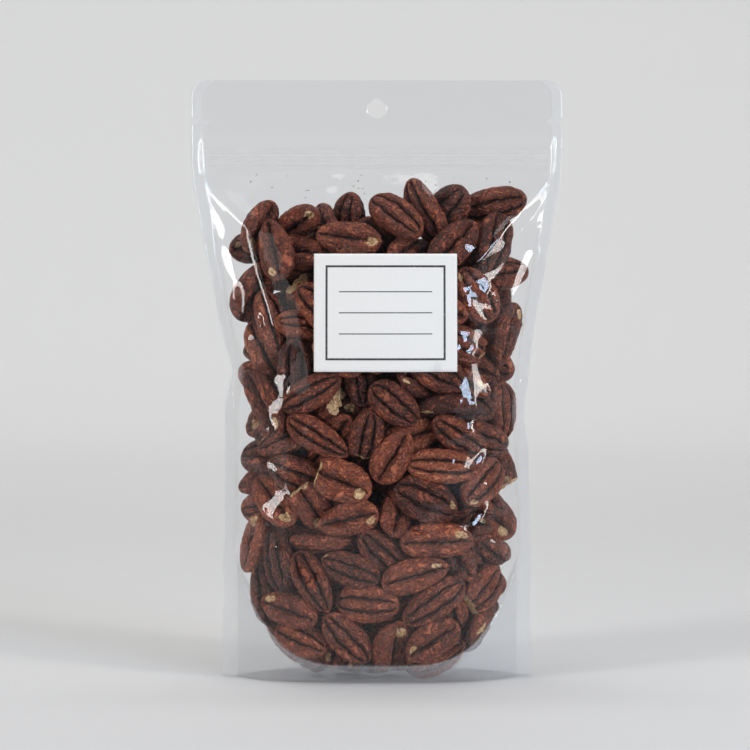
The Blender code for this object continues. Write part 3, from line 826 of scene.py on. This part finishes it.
def smoothed(depth, held, rounds):
    for _ in range(rounds):
        up_down = np.roll(depth, 1, 0) + np.roll(depth, -1, 0)
        mean = (up_down + np.roll(depth, 1, 1) + np.roll(depth, -1, 1)) / 4
        depth = np.where(held, depth, depth + 0.8 * (mean - depth))
    return depth


def draw_film(side):
    """How far out one film lies, in millimetres, on the grid."""
    X, Z = film_grid()
    inner = half_width(Z) - SIDE_SEAL
    loose = drawn_in(X, Z)
    wall = np.interp(Z, *table(ZIP_WALL_AT)) * np.clip((inner + 3 - np.abs(X)) / 3, 0, 1)
    loose = np.where(Z > 236, np.maximum(loose, wall), loose)
    flat = np.abs(X) >= np.minimum(inner + 0.6, np.where(X < 0, -X[:, :1], X[:, -1:]) - 2)
    held = flat | (Z > HEADER_FOOT) | (Z <= seal_height(X))
    loose = np.where(flat & (Z < HEADER_FOOT), np.minimum(loose, 0.4), loose)
    bumps = np.minimum(highest_points(side, X, Z), loose + MOST_OUT)
    lowest = np.maximum(bumps, loose - MOST_IN)
    depth = loose.copy()
    for _ in range(150):
        depth = np.maximum(smoothed(depth, held, 1), np.where(held, depth, lowest))
    for _ in range(5):
        depth = np.maximum(smoothed(depth, held, 7), np.where(held, depth, bumps))
    depth = smoothed(depth, held, 5)
    depth = smoothed(np.where(held, depth, depth + crease_lift(X, Z, side)), held, 2)
    depth = smoothed(np.where(held, depth, np.maximum(fold_flanks(X, Z, depth, side), bumps)), held, 1)
    # The U weld is a raised bead.
    return X, Z, depth + np.where(flat, 0, 0.5 * np.exp(-np.abs(Z - seal_height(X)) / 0.9))


film_shapes = {side: draw_film(side) for side in (-1, 1)}
for side, (X, Z, depth) in film_shapes.items():
    print("film", side, "grid", X.shape, "deepest, mm:", round(float(depth.max()), 1))

# %% [markdown]
# ## Making the two films
# Each film is a grid whose corners take their places from the drawn sheet. The hang hole is the
# faces within its circle taken out, with the rim drawn onto the circle, and Solidify gives the
# sheet a wall, so that its cut edges show as bright lines, as they do on real film.

# %% Film pieces
HOLE_HEIGHT, HOLE_RADIUS, WALL = 276, 4.35, 0.16
FILM_OUT = 0.45     # the film's outer side stands this far outside the drawn sheet


def sheet_piece(X, Y, Z, outward, marks=None):
    """A grid laid onto three arrays of coordinates in millimetres, its faces turned towards outward."""
    rows, columns = X.shape
    work = bmesh.new()
    bmesh.ops.create_grid(work, x_segments=columns - 1, y_segments=rows - 1, size=1)
    layers = {key: work.verts.layers.float.new(key) for key in (marks or {})}
    for vert in work.verts:
        c = round((vert.co.x + 1) / 2 * (columns - 1))
        r = round((vert.co.y + 1) / 2 * (rows - 1))
        vert.co = (X[r, c] * MM, Y[r, c] * MM, Z[r, c] * MM)
        for key, layer in layers.items():
            vert[layer] = marks[key][r, c]
    for face in work.faces:
        face.normal_update()
    if sum(face.normal.dot(Vector(outward)) for face in work.faces) < 0:
        bmesh.ops.reverse_faces(work, faces=work.faces)
    return work


def punch(work, height, radius):
    """Takes a round hole out of an upright sheet."""
    centre = Vector((0, 0, height))
    middles = [(face, face.calc_center_median() / MM) for face in work.faces]
    gone = [face for face, at in middles if math.hypot(at.x, at.z - height) < radius]
    bmesh.ops.delete(work, geom=gone, context="FACES")
    for vert in work.verts:
        away = Vector((vert.co.x, 0, vert.co.z)) / MM - centre
        if vert.is_boundary and away.length < radius + 3:
            away = away.normalized() * radius
            vert.co.x, vert.co.z = away.x * MM, (height + away.z) * MM


def finish_sheet(name, work, wall, material):
    """A sheet with a wall this thick, inside the drawn surface."""
    obj = object_from(work, name, material)
    solid = obj.modifiers.new("wall", "SOLIDIFY")
    solid.thickness, solid.offset = wall * MM, -1
    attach(obj, "root")
    return obj


def film_finish(name, haze, edge_shine=0.9):
    """Clear film: it mirrors more the more it is seen edge on, and its welds are faintly milky."""
    film = Finish(name)
    where = film.add("TexCoord", None, None, "Object")
    edge_on = film.add("LayerWeight", None, {"Blend": 0.5}, "Facing")
    mirror = 0.017 + (edge_on ** 5) * edge_shine
    milky = film.attribute("weld")
    waves = film.noise(where, 60.0, 2.0, 0.5)
    scuffs = film.noise(where, 900.0, 3.0, 0.6)
    clear = film.add("BsdfTransparent", None, {"Color": (0.985, 0.988, 0.99, 1)})
    rippled = film.bump(waves + scuffs * 0.03, 0.35, 0.0005)
    shine = film.add("BsdfGlossy", None, {"Color": (1, 1, 1, 1), "Roughness": 0.035, "Normal": rippled})
    veil = film.add("BsdfDiffuse", None, {"Color": (0.85, 0.86, 0.88, 1)})
    body = film.add("MixShader", None, {0: (haze + milky * 0.06).clamped(), 1: clear, 2: veil})
    return film.done(film.add("MixShader", None, {0: mirror.clamped(), 1: body, 2: shine}))


clear_film = film_finish("clear_film", 0.001)
base_film = film_finish("base_film", 0.004, 0.25)


def make_film(side):
    X, Z, depth = film_shapes[side]
    edge = np.where(X < 0, -X[:, :1], X[:, -1:])
    weld = np.clip(np.maximum(np.abs(X) - edge + SIDE_SEAL, seal_height(X) - Z) / 0.6 + 0.5, 0, 1)
    weld = np.where((Z > seal_height(X)) & (np.abs(X) < edge - SIDE_SEAL), 0, weld)
    work = sheet_piece(X, side * (depth + FILM_OUT), Z, (0, side, 0), {"weld": weld})
    punch(work, HOLE_HEIGHT, HOLE_RADIUS)
    name = "film_front" if side < 0 else "film_back"
    obj = finish_sheet(name, work, WALL, clear_film)
    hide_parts("front_film" if side < 0 else "back_film")
    return obj


films = [make_film(side) for side in (-1, 1)]
print("film triangles before the wall:", [2 * len(f.data.polygons) for f in films])

# %% [markdown]
# ## Base sheet
# The base is a third sheet, folded up inside. It is welded to the front and back films below
# the U seals, and between them the contents push it down until it rests on the shelf.

# %% Base sheet
BASE_INSET = 0.75     # how far inside the films the base sheet is welded


def make_base():
    across_steps = [2 - k / 14 for k in range(14)] + [1 - k / 26 for k in range(27)]
    v = np.array([-s for s in across_steps] + across_steps[-2::-1])
    u = np.linspace(-1, 1, 97)
    V, U = np.meshgrid(v, u, indexing="ij")
    X = U * SEAL_HALF
    rim = seal_height(X)
    Z = rim * np.minimum(2 - np.abs(V), 1)
    edge = drawn_in(X, Z) - BASE_INSET
    Y = np.sign(V) * edge
    floor = np.abs(V) <= 1
    Y = np.where(floor, V * edge, Y)
    Z = np.where(floor, np.maximum(bottom_height(X, Y) - FILM, 0.02), Z)
    weld = (np.abs(V) > 1).astype(float)
    work = sheet_piece(X, Y, Z, (0, 0, -1), {"weld": weld})
    obj = finish_sheet("base_sheet", work, WALL, base_film)
    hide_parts("bottom_gusset")
    return obj


base_sheet = make_base()

# %% [markdown]
# ## Zipper tracks
# The zipper is two extruded strips, one welded inside each film. Their cross sections are what
# shows: a thin band with fine guide ribs, and the closure in the middle, a bead on one and two
# hooked lips on the other. Each is its profile, a ring of corners, extruded once along the
# pouch. The plastic is clear but thicker than the film, so it looks milky, and its ribs catch
# the light as long fine lines.

# %% Zipper tracks
TRACK_LENGTH = 165.2


def zipper_finish():
    track = Finish("zipper_plastic")
    where = track.add("TexCoord", None, None, "Object")
    edge_on = track.add("LayerWeight", None, {"Blend": 0.5}, "Facing")
    cloudy = track.noise(where, 120.0, 3.0, 0.6)
    clear = track.add("BsdfTransparent", None, {"Color": (1, 1, 1, 1)})
    lit = track.add("BsdfTranslucent", None, {"Color": (0.98, 0.98, 0.98, 1)})
    body = track.add("BsdfPrincipled", None, {"Base Color": (0.85, 0.86, 0.88, 1), "Roughness": 0.2})
    milk = track.add("MixShader", None, {0: 0.5, 1: body, 2: lit})
    seen = (0.02 + cloudy * 0.06 + (edge_on ** 3) * 0.45).clamped()
    return track.done(track.add("MixShader", None, {0: seen, 1: clear, 2: milk}))


def track_profile(side):
    """Corners of a track's cross section, as depth from the middle plane and height, going round."""
    back = 2.05
    face, tip = back - 0.4, back - 0.75
    ribs = [(face, -4.4)]
    for rib in (-3.6, -2.9, 2.6, 3.4):
        ribs += [(face, rib - 0.16), (tip, rib), (face, rib + 0.16)]
    lips = ((-0.9, 0.95), (0.9, 0.95)) if side < 0 else ((0.0, 0.25),)
    middle = []
    for height, reach in lips:
        middle += [
            (face, height - 0.3), (reach + 0.45, height - 0.22), (reach + 0.2, height - 0.42),
            (reach, height),
            (reach + 0.2, height + 0.42), (reach + 0.45, height + 0.22), (face, height + 0.3),
        ]
    return [(back, 4.4), (back, -4.4)] + ribs[:7] + middle + ribs[7:] + [(face, 4.4)]


def make_track(side):
    work = bmesh.new()
    ring = [
        work.verts.new((-TRACK_LENGTH / 2 * MM, side * depth * MM, (ZIP_HEIGHT + rise) * MM))
        for depth, rise in track_profile(side)
    ]
    end = work.faces.new(ring)
    grown = bmesh.ops.extrude_face_region(work, geom=[end], use_keep_orig=True)["geom"]
    far_end = [v for v in grown if isinstance(v, bmesh.types.BMVert)]
    bmesh.ops.translate(work, verts=far_end, vec=(TRACK_LENGTH * MM, 0, 0))
    bmesh.ops.recalc_face_normals(work, faces=work.faces)
    obj = object_from(work, "zipper_lips" if side < 0 else "zipper_bead", zipper_plastic, smooth=False)
    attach(obj, "root")
    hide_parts("zipper_front_track" if side < 0 else "zipper_back_track")
    return obj


zipper_plastic = zipper_finish()
tracks = [make_track(side) for side in (-1, 1)]
print("zipper corners in section:", [len(track_profile(side)) for side in (-1, 1)])

# %% [markdown]
# ## Label
# A white paper label on the front film. Paper is stiffer than film, so it bridges the hollows
# between the halves and follows the belly's broad curve: its shape is the film's under it,
# smoothed and lifted clear. It is printed with a plain ruled box and lines to write on.

# %% Label
LABEL_LIFT, LABEL_THICK, BORDER = 0.2, 0.12, 6


def paper_finish(left, right, low, high):
    paper = Finish("label_paper")
    where = paper.add("TexCoord", None, None, "Object")
    at = paper.add("SeparateXYZ", None, {0: where})
    x = Wire(paper, at.socket.node.outputs["X"]) * 1000.0
    z = Wire(paper, at.socket.node.outputs["Z"]) * 1000.0
    fibre = paper.noise(where, 900.0, 5.0, 0.6)
    speckle = paper.noise(where, 2600.0, 2.0, 0.5)
    side = (x - (left + right) / 2).maths("ABSOLUTE")
    rise = (z - (low + high) / 2).maths("ABSOLUTE")
    outside = (side - ((right - left) / 2 - BORDER)).maths("MAXIMUM", rise - ((high - low) / 2 - BORDER))
    ink = 1.0 - outside.maths("ABSOLUTE").between(0.4, 0.6)
    for height in (low + 18, low + 28, low + 38):
        rule = 1.0 - (z - height).maths("ABSOLUTE").between(0.15, 0.35)
        ink = ink.maths("MAXIMUM", rule * (1.0 - side.between(22.0, 22.3)))
    print_wear = ink * (1.0 - speckle.between(0.62, 0.7) * 0.5)
    white = paper.mix(fibre, (0.745, 0.735, 0.715, 1), (0.8, 0.79, 0.77, 1))
    surface = paper.add("BsdfPrincipled", None, {
        "Base Color": paper.mix(print_wear, white, (0.03, 0.03, 0.032, 1)),
        "Roughness": (0.45 + fibre * 0.15).clamped(),
        "Normal": paper.bump(fibre, 0.2, 0.0001),
    })
    return paper.done(surface)


def make_label():
    (left, _, low), (right, _, high) = (np.array(corner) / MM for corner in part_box("label"))
    X, Z = np.meshgrid(np.linspace(left, right, 49), np.linspace(low, high, 41))
    FX, FZ, depth = film_shapes[-1]
    under = on_grid(depth, FX, FZ, X, Z)
    bridge = np.pad(under, 40, mode="edge")
    bridge = smoothed(bridge, np.zeros(bridge.shape, bool), 160)[40:-40, 40:-40]
    bridge += np.quantile(under - bridge, 0.97)
    Y = -(bridge + FILM_OUT + LABEL_LIFT)
    work = sheet_piece(X, Y, Z, (0, -1, 0))
    paper = paper_finish(left, right, low, high)
    obj = finish_sheet("paper_label", work, LABEL_THICK, paper)
    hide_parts("label")
    return obj


label = make_label()

# %% [markdown]
# ## Crumbs
# A few crumbs of kernel and skin cling to the inside of the film, mostly below the zipper.
# Each is a small ball of triangles knocked out of shape.

# %% Crumbs
def make_crumbs(count):
    work = bmesh.new()
    chance = random.Random(23)
    FX, FZ, depth = film_shapes[-1]
    for _ in range(count):
        x = chance.uniform(-66, 66)
        z = chance.choice([chance.uniform(low, high) for low, high in ((232, 246), (236, 244), (40, 236))])
        y = -float(on_grid(depth, FX, FZ, np.array(x), np.array(z))) + 0.15
        size = chance.uniform(0.12, 0.42)
        made = bmesh.ops.create_icosphere(work, subdivisions=1, radius=1)["verts"]
        for vert in made:
            vert.co *= size * chance.uniform(0.6, 1.2)
            vert.co.y *= 0.5
        bmesh.ops.translate(work, verts=made, vec=(x, y, z))
    bmesh.ops.scale(work, verts=work.verts, vec=(MM, MM, MM))
    crumb = Finish("crumb")
    where = crumb.add("TexCoord", None, None, "Object")
    patch = crumb.noise(where, 260.0, 2.0, 0.5).between(0.42, 0.58)
    colour = crumb.mix(patch, (0.11, 0.04, 0.02, 1), (0.4, 0.24, 0.13, 1))
    surface = crumb.add("BsdfPrincipled", None, {"Base Color": colour, "Roughness": 0.7})
    obj = object_from(work, "crumbs", crumb.done(surface), smooth=False)
    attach(obj, "root")
    return obj


crumbs = make_crumbs(60)

# %% [markdown]
# ## The end

# %% Finish
bpy.context.view_layer.update()
